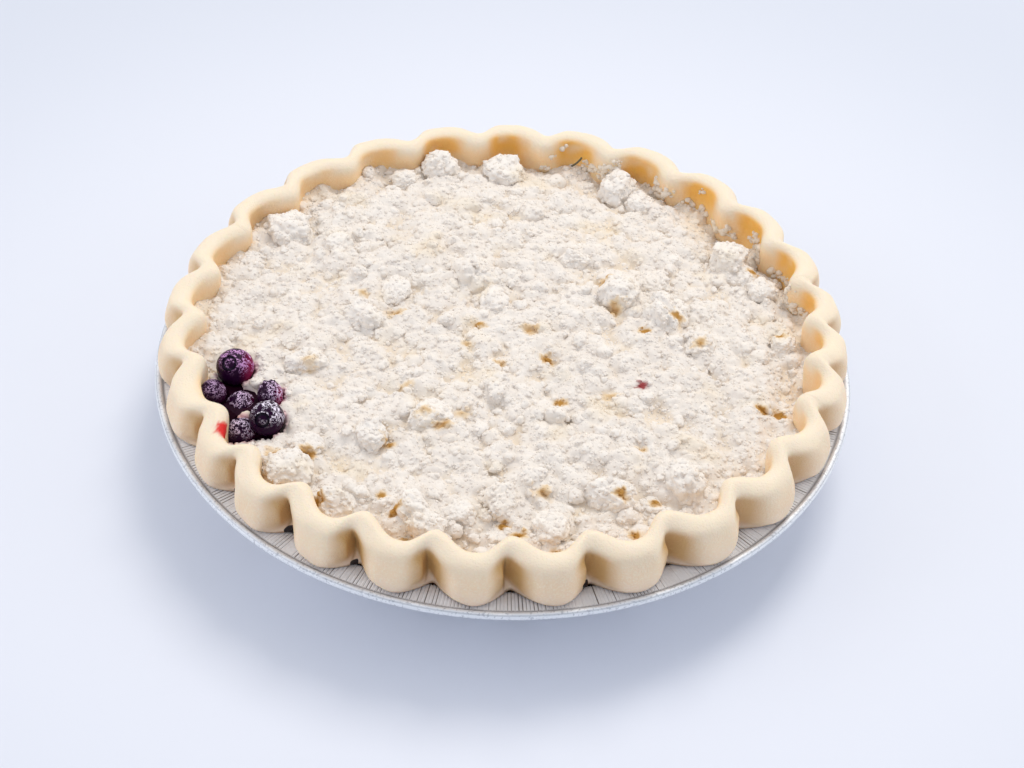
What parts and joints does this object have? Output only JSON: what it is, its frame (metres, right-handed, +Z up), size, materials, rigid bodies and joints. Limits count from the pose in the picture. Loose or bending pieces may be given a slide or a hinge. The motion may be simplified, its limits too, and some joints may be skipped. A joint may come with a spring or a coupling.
{
  "type": "blueberry goat cheese pie",
  "caption": "Round unbaked pie in a pleated foil tin: fluted raw pastry case, goat cheese filling and a pale crumble lid, with a pit of blueberries at one side.",
  "frame": {"origin": "centre of the foil tin's base, on the surface that the pie stands on", "axes": "+Z up, +X to the right and +Y away from the viewer, with the pit of blueberries at the left"},
  "size_m": [0.245, 0.245, 0.0526],
  "materials": {
    "foil": "satin",
    "raw_pastry": "soft satin",
    "goat_cheese": "moist",
    "crumble_cream": "matte, granular",
    "berry_skin": "waxy bloom"
  },
  "bodies": {
    "root": {"tin": "foil", "crust": "raw_pastry", "filling": "goat_cheese", "crumble": "crumble_cream", "berry_1": "berry_skin", "berry_2": "berry_skin", "berry_3": "berry_skin", "berry_4": "berry_skin", "berry_5": "berry_skin", "berry_6": "berry_skin"}
  },
  "joints": []
}
